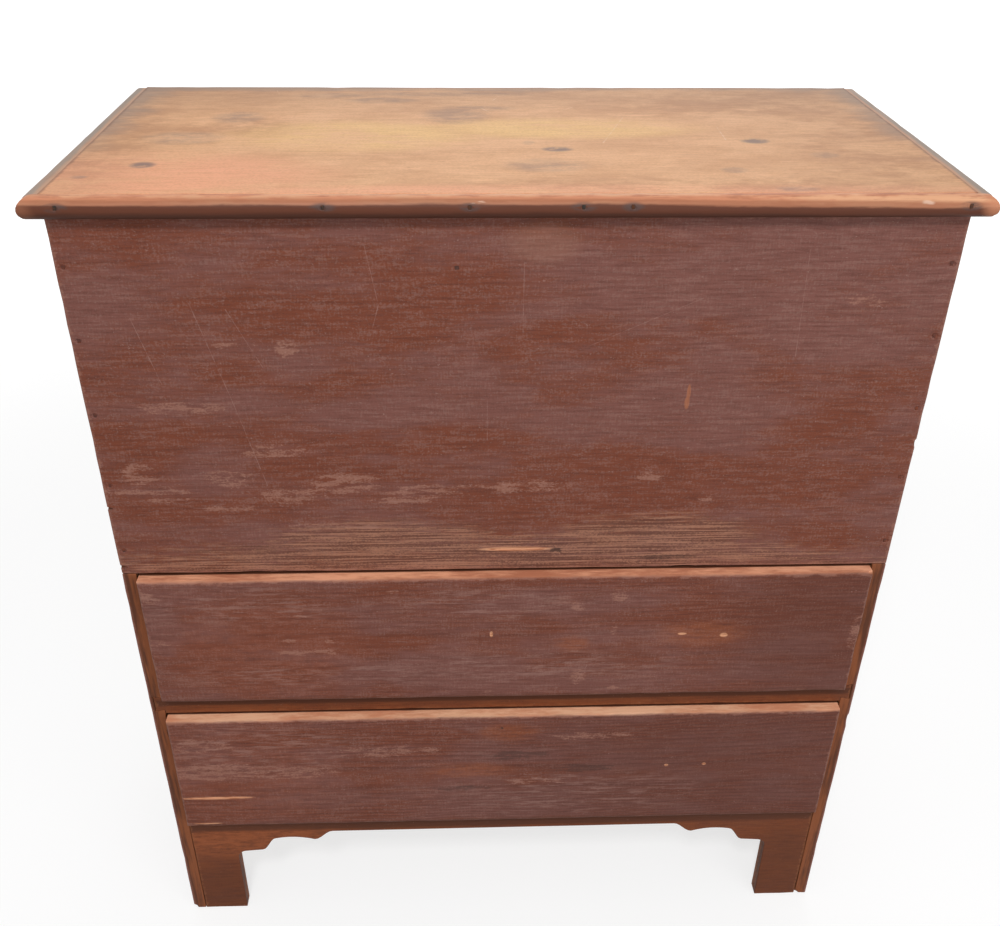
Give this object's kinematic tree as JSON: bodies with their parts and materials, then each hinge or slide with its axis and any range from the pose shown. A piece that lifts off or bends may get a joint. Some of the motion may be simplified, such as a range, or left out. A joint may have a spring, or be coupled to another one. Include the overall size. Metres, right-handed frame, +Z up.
{
  "type": "blanket chest",
  "caption": "Lift-top blanket chest with a deep well over two drawers, a moulded lid on butt hinges and scrolled bracket feet.",
  "frame": {"origin": "on the floor under the centre of the chest's overall box, lid overhang and hinge barrels included", "axes": "+Z up, front of the chest towards -Y, +X to the right as seen from the front"},
  "size_m": [0.95, 0.4643, 1.0793],
  "materials": {
    "red_paint": "worn matt red-brown paint on pine",
    "lid_pine": "worn honey-coloured pine, satin",
    "moulding": "worn red-brown stained pine, satin",
    "bare_pine": "unpainted aged pine, matt",
    "iron": "dark oxidised iron"
  },
  "bodies": {
    "case": {"side_left": "red_paint", "side_right": "red_paint", "front_board": "red_paint", "mid_rail": "red_paint", "bracket_apron": "red_paint", "backboard_1": "bare_pine", "backboard_2": "bare_pine", "backboard_3": "bare_pine", "well_floor": "bare_pine", "upper_runner_left": "bare_pine", "upper_runner_right": "bare_pine", "lower_runner_left": "bare_pine", "lower_runner_right": "bare_pine", "hinge_case_leaf_left": "iron", "hinge_case_leaf_right": "iron", "hinge_pin_left": "iron", "hinge_pin_right": "iron"},
    "lid": {"lid_board": "lid_pine", "lid_front_moulding": "moulding", "lid_end_moulding_left": "moulding", "lid_end_moulding_right": "moulding", "hinge_lid_leaf_left": "iron", "hinge_lid_leaf_right": "iron"},
    "upper_drawer": {"upper_drawer_front": "red_paint", "upper_drawer_side_left": "bare_pine", "upper_drawer_side_right": "bare_pine", "upper_drawer_back": "bare_pine", "upper_drawer_bottom": "bare_pine"},
    "lower_drawer": {"lower_drawer_front": "red_paint", "lower_drawer_side_left": "bare_pine", "lower_drawer_side_right": "bare_pine", "lower_drawer_back": "bare_pine", "lower_drawer_bottom": "bare_pine"}
  },
  "joints": [
    {"name": "lid_hinge", "type": "hinge", "parent": "case", "child": "lid", "pos_m": [0, 0.22765, 1.05715], "axis": [-1, 0, 0], "range_deg": [0, 100]},
    {"name": "upper_drawer_slide", "type": "slide", "parent": "case", "child": "upper_drawer", "axis": [0, -1, 0], "range_m": [0, 0.3]},
    {"name": "lower_drawer_slide", "type": "slide", "parent": "case", "child": "lower_drawer", "axis": [0, -1, 0], "range_m": [0, 0.3]}
  ]
}
